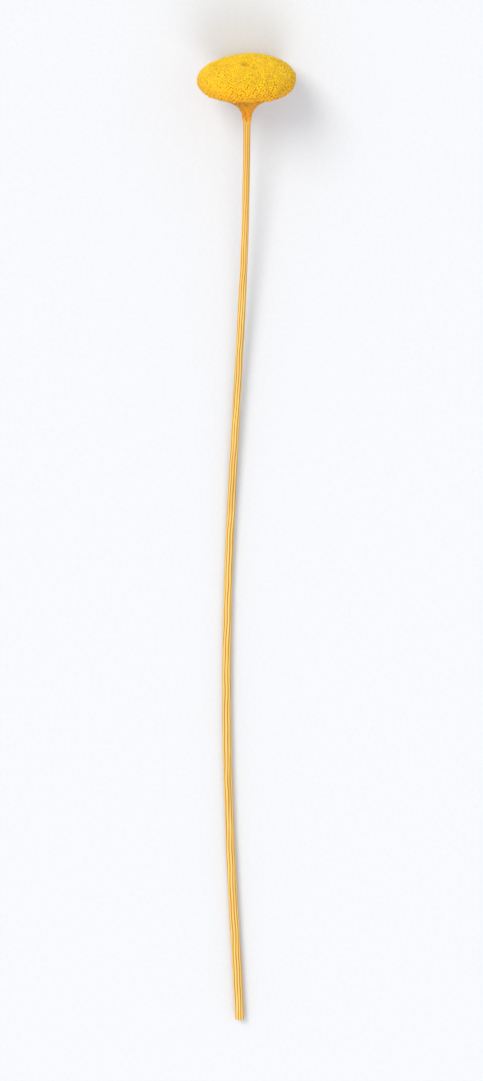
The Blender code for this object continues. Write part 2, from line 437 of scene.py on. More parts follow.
@dataclass(frozen=True)
class HeadPlace:
    """Where the head is: on a nodding axis in the plane of X and Z.

    Attributes:
        centre: Middle of the head's widest plane.
        nod: Angle of its axis over the floor.
        press: What reaches this far below the floor is pressed up to it, and what stands this far
            over it is left alone.
    """

    centre: Array
    nod: float
    press: float = 1.3 * MM

    @classmethod
    def from_stem(cls, stem: Piece, nod: float, below: float) -> "HeadPlace":
        """Finds the head from the middle of the solid stem's upper end.

        The end's corners are the stem's points that lie furthest along the head's axis.

        Args:
            stem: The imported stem.
            nod: Angle of the head's axis over the floor.
            below: Distance from the head's centre down its axis to the stem.

        Returns:
            The head's place.
        """
        points = np.empty(3 * len(stem.data.vertices))
        stem.data.vertices.foreach_get("co", points)
        corners = np.unique(np.round(points.reshape(-1, 3), 7), axis=0)
        reach = corners @ raised(nod)
        end = corners[reach > reach.max() - 0.05 * MM].mean(axis=0)
        return cls(end + below * raised(nod), nod)

    def to_frame(self, points: Array) -> Array:
        """Carries points, one a row, from the head's axes into the frame and onto the floor.

        The head's x, y and z become (sin n, 0, -cos n), (0, 1, 0) and (cos n, 0, sin n), where n
        is the nod. A height z less than the press p becomes ((z + p) / 2)^2 / p, which keeps the
        order of what lies over what.

        Args:
            points: The points about the head's axis.

        Returns:
            The points in the frame.
        """
        sine, cosine = math.sin(self.nod), math.cos(self.nod)
        turn = np.array(((sine, 0.0, cosine), (0.0, 1.0, 0.0), (-cosine, 0.0, sine)))
        placed = points @ turn.T + self.centre
        height = np.maximum(placed[:, 2], -self.press)
        pressed = 0.25 * (height + self.press) ** 2 / self.press
        placed[:, 2] = np.where(height < self.press, pressed, height)
        return placed


@dataclass
class HeadPart:
    """Something that grows on the head.

    Attributes:
        form: The head's form.
        place: The head's place.
        finish: The material.
    """

    form: HeadForm
    place: HeadPlace
    finish: Material

    def placed(self, points: Array) -> Array:
        """Carries points of turned shapes onto the uneven head in the frame."""
        return self.place.to_frame(self.form.uneven(points))

    def piece(self, name: str, skin: Skin, values: Mapping[str, Array]) -> Piece:
        """Makes a mesh object of a skin of turned shapes, with its point attributes."""
        return mesh_piece(name, (self.placed(skin[0]), skin[1]), self.finish, values)


class FloretKind(Enum):
    """How far a floret has opened, as shares of its spacing.

    In turn: reach and rise of its lip's lobes, reach and rise of the notches between them, and
    rise of its middle.
    """

    OPEN = (0.50, 0.34, 0.30, 0.26, 0.06)
    BUD = (0.34, 0.40, 0.20, 0.34, 0.30)
    WITHERED = (0.38, 0.14, 0.24, 0.04, -0.12)


def floret_values(lips: Array, tone: Array, zone: Array) -> dict[str, Array]:
    """Gives the point attributes that the florets' material reads.

    Args:
        lips: How near the lip each point is, one body a row; the material paints shade low and
            highlight high by it.
        tone: How well each body took the dye.
        zone: Share of the way from the head's middle to the rim's lower edge, for each body.

    Returns:
        The attributes by name.
    """
    size = lips.shape[1]
    return {"lip": lips.ravel(), "tone": np.repeat(tone, size), "zone": np.repeat(zone, size)}


@dataclass
class FloretHead(HeadPart):
    """The button: a cushion, the florets packed on it, small buds in their gaps and fine hairs.

    Attributes:
        hair_finish: The hairs' material.
        spacing_middle, spacing_rim: Distance between florets in the middle and on the rim.
        cushion_sink: Depth of the cushion below the florets' middle surface.
        scatter: How far a floret strays from its place on the spiral, in spacings.
        lump_rise: Height of the low lumps that whole groups of florets make.
        lobes: Lobes on each floret's lip.
        size: Least and greatest size of a floret, in spacings.
        tall, squash: The same for how tall and how squashed it is, as a share.
        foot, bulge: Reach and rise of its foot and of its bulge, as shares of its size.
        lean, bud_lean, hair_lean: How far a floret, a bud and a hair lean.
        bud_tries, hair_tries: How many places are tried for buds and for hairs.
        bud_gap: How far from the nearest floret a bud has to be, in spacings.
        bud_half: Least and greatest half width of a bud, in spacings.
        bud_top: The same for its height over the surface, in millimetres.
        bud_sides: Sides of a bud.
        hair_length: Least and greatest length of a hair, in millimetres.
        hair_radius: Half its thickness, which is probably more than life so that it shows.
        hair_root: How far its root is sunk.
        hair_chance: How likely a hair is on the dome. Round the rim it is certain.
        clearance: Height over the floor that a hair's root has to have.
        seed: Seed of all random draws.
    """

    hair_finish: Material
    spacing_middle: float = 0.54 * MM
    spacing_rim: float = 0.80 * MM
    cushion_sink: float = 0.20 * MM
    scatter: float = 0.22
    lump_rise: float = 0.08 * MM
    lobes: int = 5
    size: Pair = (0.95, 1.22)
    tall: Pair = (0.80, 1.20)
    squash: Pair = (0.90, 1.10)
    foot: Pair = (0.38, -0.42)
    bulge: Pair = (0.50, -0.02)
    lean: float = 0.17
    bud_lean: float = 0.2
    hair_lean: float = 0.45
    bud_tries: int = 9000
    hair_tries: int = 34000
    bud_gap: float = 0.52
    bud_half: Pair = (0.24, 0.34)
    bud_top: Pair = (-0.02, 0.10)
    bud_sides: int = 7
    hair_length: Pair = (0.34, 0.70)
    hair_radius: float = 0.016 * MM
    hair_root: float = 0.05 * MM
    hair_chance: float = 0.3
    clearance: float = 0.9 * MM
    seed: int = 41

    def spacing(self, radius: Array) -> Array:
        """Returns the florets' spacing, which grows with the square of the radius."""
        share = (2.0 * radius / self.form.diameter) ** 2
        return self.spacing_middle + (self.spacing_rim - self.spacing_middle) * share

    def build(self) -> None:
        """Builds the four pieces and lets them stand for the solid head."""
        dome = self.form.dome()
        random = np.random.default_rng(self.seed)
        spots = dome.spiral(self.spacing, self.scatter, random)
        stand_for(
            "floret_head", "florets",
            self.cushion(dome),
            self.florets(dome, spots, random),
            self.buds(dome, spots, random),
            self.down(dome, random),
        )

    def lumps(self, points: Array) -> Array:
        """Gives a smooth random field of height about 1: twelve plane waves of 2 to 4.5 mm.

        Args:
            points: Where it is wanted, one point a row.

        Returns:
            Its height at each point.
        """
        random = np.random.default_rng(self.seed + 1)
        length = random.uniform(2.0, 4.5, (12, 1)) * MM
        waves = TURN * unit(random.standard_normal((12, 3))) / length
        return np.sin(points @ waves.T + random.uniform(0.0, TURN, 12)).sum(axis=1) / 2.5

    def cushion(self, dome: TurnedShape) -> Piece:
        """Makes the closed cushion that the florets stand on.

        Args:
            dome: The surface that it lies below.

        Returns:
            The piece.
        """
        points, faces = dome.body(sides=96, sink=self.cushion_sink)
        reach = np.hypot(points[:, 0], points[:, 1]) / (0.5 * self.form.diameter)
        # The cushion is coloured as painted shade: lip 0.30 gives the florets' darker feet, and zone
        # 1 below the widest plane gives the rim's deeper orange
        values = {
            "lip": np.full(len(points), 0.30),
            "tone": np.full(len(points), 0.5),
            "zone": np.where(points[:, 2] < 0.0, 1.0, 0.8 * reach),
        }
        return self.piece("head_cushion", (points, faces), values)

    def kinds(self, zone: Array, random: Random) -> Array:
        """Draws each floret's kind: buds crowd the middle, and few florets are withered.

        Args:
            zone: Share of the way from the middle to the rim's lower edge.
            random: The source of the draws.

        Returns:
            One row of shares a floret, as its kind gives them.
        """
        draw = random.uniform(0.0, 1.0, (len(zone), 1))
        bud = draw < 0.72 - 0.55 * zone[:, None]
        opened = np.where(draw > 0.93, FloretKind.WITHERED.value, FloretKind.OPEN.value)
        return np.where(bud, FloretKind.BUD.value, opened)

    def florets(self, dome: TurnedShape, spots: Spots, random: Random) -> Piece:
        """Makes all florets as one mesh of closed bodies.

        A floret is three rings of ten sides: its foot, its bulge and its lip, whose even points
        are lobes and whose odd points are notches. Its middle is the end point. It is sized by the
        spacing, leans a few degrees at random and is turned at random about its own axis.

        Args:
            dome: The surface that they stand on.
            spots: Where they stand.
            random: The source of the draws.

        Returns:
            The piece.
        """
        count, sides = len(spots[0]), 2 * self.lobes
        radius = dome.radius_at(spots[0])
        zone = dome.share(spots[0])
        lobe_reach, lobe_rise, notch_reach, notch_rise, middle_rise = self.kinds(zone, random).T
        tall = random.uniform(*self.tall, count)
        foot_reach, foot_rise = self.foot
        bulge_reach, bulge_rise = self.bulge
        is_lobe = np.arange(sides) % 2 == 0
        whole = np.ones((count, sides))
        lip_reach = np.where(is_lobe, lobe_reach[:, None], notch_reach[:, None])
        lip_rise = np.where(is_lobe, lobe_rise[:, None], notch_rise[:, None]) * tall[:, None]
        reach = np.stack((foot_reach * whole, bulge_reach * whole, lip_reach), axis=1)
        rise = np.stack((foot_rise * whole, bulge_rise * whole, lip_rise), axis=1)

        size = self.spacing(radius) * random.uniform(*self.size, count)
        onward, _, outward, up = dome.leaning(spots, self.lean, random)
        forth = unit(onward - (onward * up).sum(axis=1, keepdims=True) * up)
        turn = turns(sides) + random.uniform(0.0, TURN, (count, 1))
        squash = random.uniform(*self.squash, (count, 1, 1))
        local = size[:, None, None] * np.stack((
            reach * np.cos(turn)[:, None] * squash,
            reach * np.sin(turn)[:, None] / squash,
            rise,
        ))
        axes = np.stack((forth, np.cross(up, forth), up))
        centre = dome.place(*spots, 0.0)
        lump = self.lumps(centre)
        centre += (self.lump_rise * lump)[:, None] * outward
        rings = centre[:, None, None] + np.einsum("afks,afc->fksc", local, axes)
        starts = centre + (size * foot_rise)[:, None] * up
        ends = centre + (size * middle_rise * tall)[:, None] * up
        skin = closed_bodies(starts, rings, ends)

        # Lip values that the material turns into painted shade at a floret's foot and painted
        # highlight at its lobe tips
        lip_painted_light = np.concatenate((
            np.repeat((0.0, 0.0, 0.40), (1, sides, sides)), np.where(is_lobe, 1.0, 0.75), [0.15],
        ))
        # Florets in the dimple catch less light, so they are coloured as if further from the lip
        in_dimple = np.clip(radius / (1.3 * self.form.dimple_radius), 0.35, 1.0)
        tone = random.uniform(0.0, 1.0, count) + 0.12 * lump
        return self.piece("florets", skin, floret_values(in_dimple[:, None] * lip_painted_light, tone, zone))

    def buds(self, dome: TurnedShape, spots: Spots, random: Random) -> Piece:
        """Makes small round buds wherever a gap between the florets is wide enough.

        Places are tried at random, and those stay that are far enough from any floret. A bud is
        two rings under a point.

        Args:
            dome: The surface that they stand on.
            spots: Where the florets stand.
            random: The source of the draws.

        Returns:
            The piece.
        """
        along, angle = dome.scatter(self.bud_tries, random)
        tried = dome.place(along, angle, 0.0)
        florets = dome.place(*spots, 0.0)
        squares = (tried**2).sum(axis=1)[:, None] + (florets**2).sum(axis=1) - 2.0 * tried @ florets.T
        gap = np.sqrt(np.maximum(squares.min(axis=1), 0.0))
        spacing = self.spacing(dome.radius_at(along))
        free = gap > self.bud_gap * spacing
        centre, along, angle, spacing = tried[free], along[free], angle[free], spacing[free]
        count, sides = len(along), self.bud_sides
        _, around, _, up = dome.leaning((along, angle), self.bud_lean, random)
        forth = unit(np.cross(around, up))
        spoke = spokes(forth, np.cross(up, forth), turns(sides))
        half = spacing * random.uniform(*self.bud_half, count)
        top = random.uniform(*self.bud_top, count) * MM
        reach = half[:, None] * np.array((1.0, 0.78))
        lift = np.stack((top - 1.1 * half, top - 0.25 * half), axis=1)
        rings = centre[:, None, None] + lift[..., None, None] * up[:, None, None]
        rings = rings + reach[..., None, None] * spoke[:, None]
        starts = centre + (top - 1.6 * half)[:, None] * up
        skin = closed_bodies(starts, rings, centre + top[:, None] * up)
        # Lip values: darker at a bud's foot as painted shade, paler at its top as painted highlight
        lips = np.tile(np.repeat((0.0, 0.35, 0.65, 0.85), (1, sides, sides, 1)), (count, 1))
        tone = random.uniform(0.0, 0.8, count)
        return self.piece("floret_buds", skin, floret_values(lips, tone, dome.share(along)))

    def down(self, dome: TurnedShape, random: Random) -> Piece:
        """Makes the short hairs that give the button its velvet edge.

        A hair is one ring of three sides between its root and its tip. It stands off the surface
        and leans at random. The chance that a place is kept rises from the dome to the rim, and
        none is kept where the head rests on the floor.

        Args:
            dome: The surface that they stand on.
            random: The source of the draws.

        Returns:
            The piece.
        """
        along, angle = dome.scatter(self.hair_tries, random)
        root = dome.place(along, angle, -self.hair_root)
        round_rim = np.clip((dome.share(along) - 0.45) / 0.25, 0.0, 1.0)
        chance = self.hair_chance + (1.0 - self.hair_chance) * round_rim
        clear = self.placed(root)[:, 2] > self.clearance
        kept = clear & (random.uniform(0.0, 1.0, self.hair_tries) < chance)
        along, angle, root = along[kept], angle[kept], root[kept]
        _, around, _, up = dome.leaning((along, angle), self.hair_lean, random)
        length = random.uniform(*self.hair_length, len(along))[:, None] * MM
        forth = unit(np.cross(up, around))
        spoke = spokes(forth, np.cross(up, forth), turns(3))
        rings = (root + 0.35 * length * up)[:, None] + self.hair_radius * spoke
        points, faces = closed_bodies(root, rings[:, None], root + length * up)
        # Lip values: darker at a hair's root as painted shade, palest at its tip as painted highlight
        lips = np.tile((0.0, 0.6, 0.6, 0.6, 1.0), (len(along), 1))
        tone = random.uniform(0.3, 1.0, len(along))
        values = floret_values(lips, tone, dome.share(along))
        return mesh_piece("floret_hairs", (self.placed(points), faces), self.hair_finish, values)


@dataclass
class Involucre(HeadPart):
    """The funnel under the head: a core and the small papery bracts that overlap on it.

    Attributes:
        spacing_neck: Distance between bracts at the neck.
        spacing_cup: Distance between bracts from halfway out on the cup.
        scatter: How far a bract strays from its place on the spiral, in spacings.
        core_sink: Depth of the core below the funnel's surface.
        length, half_width: Length and half width of a bract, in spacings.
        half_thickness: Half its thickness.
        tip_rise: How far its tip stands off the funnel.
        size_spread, length_spread, rise_spread: Least and greatest share of its size, of its
            length and of its tip's rise.
        sway: How far its tip strays to the side, as a share of its length.
        stations: Where its rings are, as shares of its length.
        sides: Sides of its rings.
        seed: Seed of all random draws.
    """

    spacing_neck: float = 0.62 * MM
    spacing_cup: float = 1.00 * MM
    scatter: float = 0.12
    core_sink: float = 0.10 * MM
    length: float = 2.9
    half_width: float = 0.54
    half_thickness: float = 0.05 * MM
    tip_rise: float = 0.17 * MM
    size_spread: Pair = (0.88, 1.12)
    length_spread: Pair = (0.85, 1.15)
    rise_spread: Pair = (0.5, 1.3)
    sway: float = 0.15
    stations: tuple[float, ...] = (0.07, 0.28, 0.52, 0.74, 0.91)
    sides: int = 6
    seed: int = 58

    def spacing(self, radius: Array) -> Array:
        """Returns the bracts' spacing, which grows up to halfway out on the cup."""
        share = np.minimum(2.0 * radius / self.form.cup_radius, 1.0)
        return self.spacing_neck + (self.spacing_cup - self.spacing_neck) * share

    def build(self) -> None:
        """Builds both pieces and lets them stand for the solid involucre."""
        cup = self.form.cup()
        stand_for("involucre", "bracts", self.core(cup), self.bracts(cup))

    def core(self, cup: TurnedShape) -> Piece:
        """Makes the closed core that the bracts grow from.

        Args:
            cup: The surface that it lies below.

        Returns:
            The piece.
        """
        points, faces = cup.body(sides=72, sink=self.core_sink)
        values = {
            "edge": np.zeros(len(points)),
            "tone": np.full(len(points), 0.5),
            "zone": (cup.height[0] - points[:, 2]) / (cup.height[0] - cup.height[-1]),
            "grain": points / MM,
        }
        return self.piece("involucre_core", (points, faces), values)

    def bracts(self, cup: TurnedShape) -> Piece:
        """Makes all bracts as one mesh of closed, flat spindles that lie along the funnel.

        At a share u of its length a bract is as wide as u^0.5 (1 - u)^0.6 says, set to its half
        width at the widest, and it stands off the funnel by its tip's rise times u^1.5. Its rings
        are flat ellipses. It points up the funnel, towards the rim.

        Args:
            cup: The surface that they grow on.

        Returns:
            The piece.
        """
        random = np.random.default_rng(self.seed)
        along, angle = cup.spiral(self.spacing, self.scatter, random)
        count = len(along)
        stations = np.array(self.stations)
        widths = stations**0.5 * (1.0 - stations) ** 0.6
        widths /= widths.max()
        size = self.spacing(cup.radius_at(along)) * random.uniform(*self.size_spread, count)
        length = self.length * size * random.uniform(*self.length_spread, count)
        foot = along + 0.5 * length
        rise = self.tip_rise * random.uniform(*self.rise_spread, count)
        sway = self.sway * random.standard_normal(count)

        turn = turns(self.sides)
        half = self.half_width * size[:, None, None] * widths[:, None]
        sideways = half * np.cos(turn) + (sway * length)[:, None, None] * stations[:, None]
        lift = (rise[:, None] * stations**1.5)[:, :, None]
        lift = lift - self.half_thickness * np.sqrt(widths)[:, None] * np.sin(turn)
        walked = (foot[:, None] - length[:, None] * stations)[:, :, None]
        walked = np.broadcast_to(walked, sideways.shape)
        around = angle[:, None, None] + sideways / cup.radius_at(walked)
        rings = cup.place(walked, around, lift)
        starts = cup.place(foot, angle, -0.5 * self.half_thickness)
        tip = foot - length
        ends = cup.place(tip, angle + sway * length / cup.radius_at(tip), rise)
        skin = closed_bodies(starts, rings, ends)

        edge = np.pad((np.abs(np.cos(turn)) * 0.5 + 0.5 * stations[:, None]).ravel(), 1)
        edge[-1] = 1.0
        across = np.pad(sideways.reshape(count, -1), ((0, 0), (1, 1)))
        lengthwise = length[:, None] * np.concatenate(([0.0], np.repeat(stations, self.sides), [1.0]))
        # Sets the veins of one bract apart from those of the next
        own = np.repeat(7.3 * np.arange(count), len(edge))
        values = {
            "edge": np.tile(edge, count),
            "tone": np.repeat(random.uniform(0.0, 1.0, count), len(edge)),
            "zone": np.repeat(cup.share(along), len(edge)),
            "grain": np.stack((across.ravel() / MM, lengthwise.ravel() / MM, own), axis=-1),
        }
        return self.piece("bracts", skin, values)


@dataclass
class Scape:
    """The leafless stem: a ribbed straw from inside the neck to its cut end, and its pith.

    Attributes:
        place: The head's place.
        below: Distance from the head's centre down its axis to the solid stem.
        straw: The material of the wall.
        pith: The material of the pith.
        span: Length of the solid stem along X.
        reach_up: How far it goes on up into the neck.
        radius_at_neck, radius_at_cut: Radius over the ribs below the flare and at the cut.
        flare: How much thicker it is right at the neck.
        flare_length: Where the flare has faded to a third.
        taper_power: How soon it thickens.
        side_bow: Greatest step to the side.
        bow_waves: Waves of that step over the span.
        twist: Turn of the ribs over the span.
        ribs: How many ribs there are.
        rib_depth: Depth of a furrow, as a share of the radius.
        ridge: Height of the fine ridges on the ribs, as such a share.
        swell: How far the straw swells and thins on its way, as such a share.
        stray: How far its ribs stray from the even twist, as an angle.
        wall: Thickness of the wall round the pith, as a share of the radius.
        rings: How many rings the straw has outside.
        seed: Seed of all random draws.
    """

    place: HeadPlace
    below: float
    straw: Material
    pith: Material
    span: float = 282.5 * MM
    reach_up: float = 1.2 * MM
    radius_at_neck: float = 1.0 * MM
    radius_at_cut: float = 1.45 * MM
    flare: float = 0.15 * MM
    flare_length: float = 4.0 * MM
    taper_power: float = 0.8
    side_bow: float = 6.0 * MM
    bow_waves: float = 0.8
    twist: float = math.radians(200.0)
    ribs: int = 9
    rib_depth: float = 0.14
    ridge: float = 0.012
    swell: float = 0.018
    stray: float = 0.10
    wall: float = 0.24
    rings: int = 400
    seed: int = 67

    def radius(self, distance: Array) -> Array:
        """Gives the radius over the ribs: a power of the distance, plus a fading flare.

        Args:
            distance: Distances below the neck.

        Returns:
            The radius at each.
        """
        below_neck = np.maximum(distance, 0.0)
        share = (below_neck / self.span) ** self.taper_power
        thicker = (self.radius_at_cut - self.radius_at_neck) * share
        return self.radius_at_neck + thicker + self.flare * np.exp(-below_neck / self.flare_length)

    def middle(self, distance: Array) -> Array:
        """Gives the middle line: out of the neck, down to the floor and along it.

        x falls by the distance. y moves by half the bow times 1 - cos of the bow's waves. z is the
        radius plus a parabola that leaves the neck along the head's axis and ends on the floor.

        Args:
            distance: Distances below the neck.

        Returns:
            The points, one a row.
        """
        start = self.place.centre - self.below * raised(self.place.nod)
        drop = start[2] - self.radius(np.zeros(1))[0]
        landing = 2.0 * drop / math.tan(self.place.nod)
        bow = 0.5 * self.side_bow * (1.0 - np.cos(self.bow_waves * TURN * distance / self.span))
        fall = drop * np.maximum(0.0, 1.0 - distance / landing) ** 2
        return np.stack((start[0] - distance, start[1] + bow, self.radius(distance) + fall), axis=-1)

    def waver(self, distance: Array, random: Random) -> Array:
        """Gives a slow random wave of height about 1: four sines of unlike lengths.

        Args:
            distance: Distances below the neck.
            random: The source of the sines' phases.

        Returns:
            The wave's height at each.
        """
        lengths = np.array((11.0, 19.0, 34.0, 61.0)) * MM
        phases = random.uniform(0.0, TURN, len(lengths))
        return np.sin(TURN * distance[:, None] / lengths + phases).sum(axis=1) / 2.0

    def tube(self, distance: Array, share: Array) -> Piece:
        """Makes one closed body of ribbed rings round the middle line.

        Seen from the cut, the outline at an angle a is 1 - depth (1 - |cos(p / 2)|^0.8) plus
        ridge cos(3p + 0.7), where the phase p runs through all ribs unevenly, so furrows are
        narrow, crests are round and no two ribs are alike. The angles turn with the twist.

        Args:
            distance: Distance below the neck of each ring.
            share: Share of the full radius that each ring has.

        Returns:
            The piece.
        """
        random = np.random.default_rng(self.seed)
        angle = turns(12 * self.ribs)
        phase = self.ribs * angle + (0.5 * np.sin(2.0 * angle + 1.1) + 0.4 * np.sin(angle + 4.0))
        crest = np.abs(np.cos(0.5 * phase)) ** 0.8
        outline = 1.0 - self.rib_depth * (1.0 - crest) + self.ridge * np.cos(3.0 * phase + 0.7)
        swell = 1.0 + self.swell * self.waver(distance, random)
        reach = (self.radius(distance) * share * swell)[:, None] * outline
        # The rings turn back inside the cut end, so the heading is read off the middle line itself
        step = 0.1 * MM
        heading = unit(self.middle(distance + step) - self.middle(distance - step))
        upward = unit(np.array((0.0, 0.0, 1.0)) - heading[:, 2:] * heading)
        turned = self.twist * distance / self.span + self.stray * self.waver(distance, random)
        spoke = spokes(upward, np.cross(heading, upward), angle + turned[:, None])
        rings = self.middle(distance)[:, None] + reach[..., None] * spoke
        rings[..., 2] = np.maximum(rings[..., 2], 0.0)
        start, end = rings[0].mean(axis=0), rings[-1].mean(axis=0)
        own = reach / MM
        lengthwise = np.broadcast_to(distance[:, None] / MM, own.shape)
        grain = np.stack((own * np.cos(angle), own * np.sin(angle), lengthwise), axis=-1)
        values = {
            # Share of the way from a furrow to a crest, which the straw's material paints as shade
            # and highlight
            "painted_rib_light": np.pad(np.tile(crest, len(distance)), 1, constant_values=0.5),
            "grain": np.pad(grain.reshape(-1, 3), ((1, 1), (0, 0))),
        }
        skin = closed_bodies(start[None], rings[None], end[None])
        return mesh_piece("scape", skin, self.straw, values)

    def build(self) -> None:
        """Builds the straw, which folds back into its cut end, and the pith in it."""
        outer = np.linspace(-self.reach_up, self.span - 0.05 * MM, self.rings)
        inward = np.array((0.0, 0.02, 0.0, -0.10, -0.90, -1.50)) * MM
        bore = 1.0 - self.wall
        shrink = np.array((0.985, 0.93, 0.87, bore, bore - 0.02, bore - 0.05))
        distance = np.concatenate((outer, self.span + inward))
        share = np.concatenate((np.ones_like(outer), shrink))
        stand_for("stem", "dried_stem", self.tube(distance, share), self.pith_plug())

    def pith_plug(self) -> Piece:
        """Makes the spongy pith in the cut end, a round plug with a slightly sunk face.

        Returns:
            The piece.
        """
        depth = np.array((1.3, 1.2, 0.9, 0.45, 0.30, 0.26, 0.28, 0.33)) * MM
        share = np.array((0.30, 0.66, 0.72, 0.74, 0.70, 0.55, 0.36, 0.16))
        turn = turns(48)
        middle = self.middle(self.span - depth)
        rough = 1.0 + 0.03 * np.cos(7.0 * turn) + 0.02 * np.cos(11.0 * turn + 1.0)
        reach = (share * self.radius_at_cut)[:, None] * rough
        rings = np.stack((
            np.broadcast_to(middle[:, :1], reach.shape),
            middle[:, 1:2] + reach * np.sin(turn),
            middle[:, 2:] + reach * np.cos(turn),
        ), axis=-1)
        return mesh_piece("pith", closed_bodies(middle[:1], rings[None], middle[-1:]), self.pith, {})


def linear(hex_colour: str) -> tuple[float, float, float, float]:
    """Turns an sRGB hex colour into a linear one.

    Args:
        hex_colour: The colour, as # and six digits.

    Returns:
        Red, green, blue and an alpha of 1.
    """
    channels = np.array([int(hex_colour[start:start + 2], 16) for start in (1, 3, 5)]) / 255.0
    high = ((channels + 0.055) / 1.055) ** 2.4
    red, green, blue = np.where(channels <= 0.04045, channels / 12.92, high)
    return float(red), float(green), float(blue), 1.0


def connect(tree: bpy.types.NodeTree, node: bpy.types.Node, inputs: Inputs) -> None:
    """Links each input of a node to another node's output, or sets it to a value.

    Args:
        tree: The material's nodes.
        node: The node.
        inputs: What goes into it, by the input's name or number.
    """
    for name, source in inputs.items():
        if isinstance(source, Socket):
            tree.links.new(source, node.inputs[name])
        else:
            node.inputs[name].default_value = source


def add_node(
    tree: bpy.types.NodeTree,
    kind: str,
    inputs: Inputs,
    output: str | int = 0,
    stops: Sequence[tuple[float, str]] = (),
    **settings: str,
) -> Socket:
    """Adds one node to a material, with its settings and links.

    Args:
        tree: The material's nodes.
        kind: Blender's name for the kind of node, without its first part.
        inputs: What goes into it, by the input's name or number.
        output: Name or number of the output that is wanted.
        stops: Place and hex colour of each stop, for a colour ramp.
        settings: The node's own settings.

    Returns:
        The output.
    """
    node = tree.nodes.new("ShaderNode" + kind)
    for name, value in settings.items():
        setattr(node, name, value)
    connect(tree, node, inputs)
    for index, (place, hex_colour) in enumerate(stops):
        elements = node.color_ramp.elements
        stop = elements[index] if index < len(elements) else elements.new(place)
        stop.position = place
        stop.color = linear(hex_colour)
    return node.outputs[output]


@dataclass(frozen=True)
class Finish(ABC):
    """What all finishes share: a shader whose even values are set on its own sockets.

    Attributes:
        name: The material's name.
        roughness: Of the surface.
        ior: Of the stuff.
        specular: Level of its gloss.
    """

    name: str
    roughness: float
    ior: float = 1.5
    specular: float = 0.5

    @abstractmethod
    def varied(self, tree: bpy.types.NodeTree) -> Inputs:
        """Adds the nodes for what varies over the surface.

        Args:
            tree: The material's nodes.

        Returns:
            What goes into the shader, besides the even values.
        """

    def make(self) -> Material:
        """Builds the material.

        Returns:
            The material.
        """
        made = bpy.data.materials.new(self.name)
        made.use_nodes = True
        tree = made.node_tree
        connect(tree, tree.nodes["Principled BSDF"], {
            "Roughness": self.roughness,
            "IOR": self.ior,
            "Specular IOR Level": self.specular,
            **self.varied(tree),
        })
        return made


@dataclass(frozen=True)
class DyedFlorets(Finish):
    """Dried disc florets that were bleached and dyed yellow in a bath.

    The tissue is thin, matt and finely hairy: to the eye it is a warm yellow velvet. Its colour is
    brightest on the lips as painted highlight, amber between the florets and deeper orange on the
    rim's lower edge as painted shade, and a little olive where the dye took less.

    Attributes:
        roughness: Matt, as dry petals are.
        ior: Of dry cellulose.
        specular: Low, as the rough tissue traps most of the light.
        furrow, body, lip, pale: Colours between the florets, on their sides, on their lips and on
        the palest lobes: painted shade between the florets, painted highlight on the palest lobes.
        olive: Colour of the patches that took less dye.
        amber: Colour of the mottling that took more.
        under: Colour of the rim's lower edge, a deeper orange that is painted shade.
        patch: Size of a patch.
        mottle: Size of the mottling.
        tissue: Size of the tissue's grain, coarser than the real one, about 0.03 mm, to show.
        relief: Depth of that grain.
        sheen, sheen_roughness, sheen_tint: Of the fuzz that shows at a low angle.
    """

    name: str = "dyed_florets"
    roughness: float = 0.82
    ior: float = 1.47
    specular: float = 0.15
    furrow: str = "#CC8210"
    body: str = "#EAB816"
    lip: str = "#F5D222"
    pale: str = "#FCE236"
    olive: str = "#D8AC1C"
    amber: str = "#DE9A1E"
    under: str = "#E59C24"
    patch: float = 6.0 * MM
    mottle: float = 1.7 * MM
    tissue: float = 0.14 * MM
    relief: float = 0.05 * MM
    sheen: float = 0.14
    sheen_roughness: float = 0.50
    sheen_tint: str = "#FFD08C"

    def varied(self, tree: bpy.types.NodeTree) -> Inputs:
        """Adds the nodes that colour the florets by height, dye and place.

        Args:
            tree: The material's nodes.

        Returns:
            What goes into the shader, besides the even values.
        """
        lip, tone, zone = (
            add_node(tree, "Attribute", {}, "Fac", attribute_name=name)
            for name in ("lip", "tone", "zone")
        )
        place = add_node(tree, "TexCoord", {}, "Object")
        patches, mottle, grain = (
            add_node(tree, "TexNoise", {"Vector": place, "Scale": 1.0 / size, "Detail": 3.0}, "Fac")
            for size in (self.patch, self.mottle, self.tissue)
        )
        # Olive patches and amber mottling are the dye's own; the zone row turns the rim's lower edge
        # toward the under colour as painted shade
        dull, few, more_dye, low = (
            add_node(tree, "MapRange", dict(zip(MAP_RANGE, row)))
            for row in (
                (patches, 0.50, 0.72, 0.0, 0.40),
                (tone, 0.0, 0.30, 0.40, 0.0),
                (mottle, 0.50, 0.68, 0.0, 0.42),
                (zone, 0.70, 1.0, 0.0, 0.75),
            )
        )
        less_dye = add_node(tree, "Math", {0: dull, 1: few}, operation="MAXIMUM")
        # Colour by height on a floret: painted shade low between the florets, painted highlight on
        # the lobe tips
        painted_light_by_height = ((0.0, self.furrow), (0.42, self.body), (0.80, self.lip), (1.0, self.pale))
        colour = add_node(tree, "ValToRGB", {"Fac": lip}, "Color", painted_light_by_height)
        for share, tint in ((less_dye, self.olive), (more_dye, self.amber), (low, self.under)):
            mixed = {MIX_FACTOR: share, MIX_A: colour, MIX_B: linear(tint)}
            colour = add_node(tree, "Mix", mixed, MIX_RESULT, data_type="RGBA")
        bump = {"Height": grain, "Strength": 0.5, "Distance": self.relief}
        return {
            "Base Color": colour,
            "Normal": add_node(tree, "Bump", bump),
            "Sheen Weight": self.sheen,
            "Sheen Roughness": self.sheen_roughness,
            "Sheen Tint": linear(self.sheen_tint),
        }


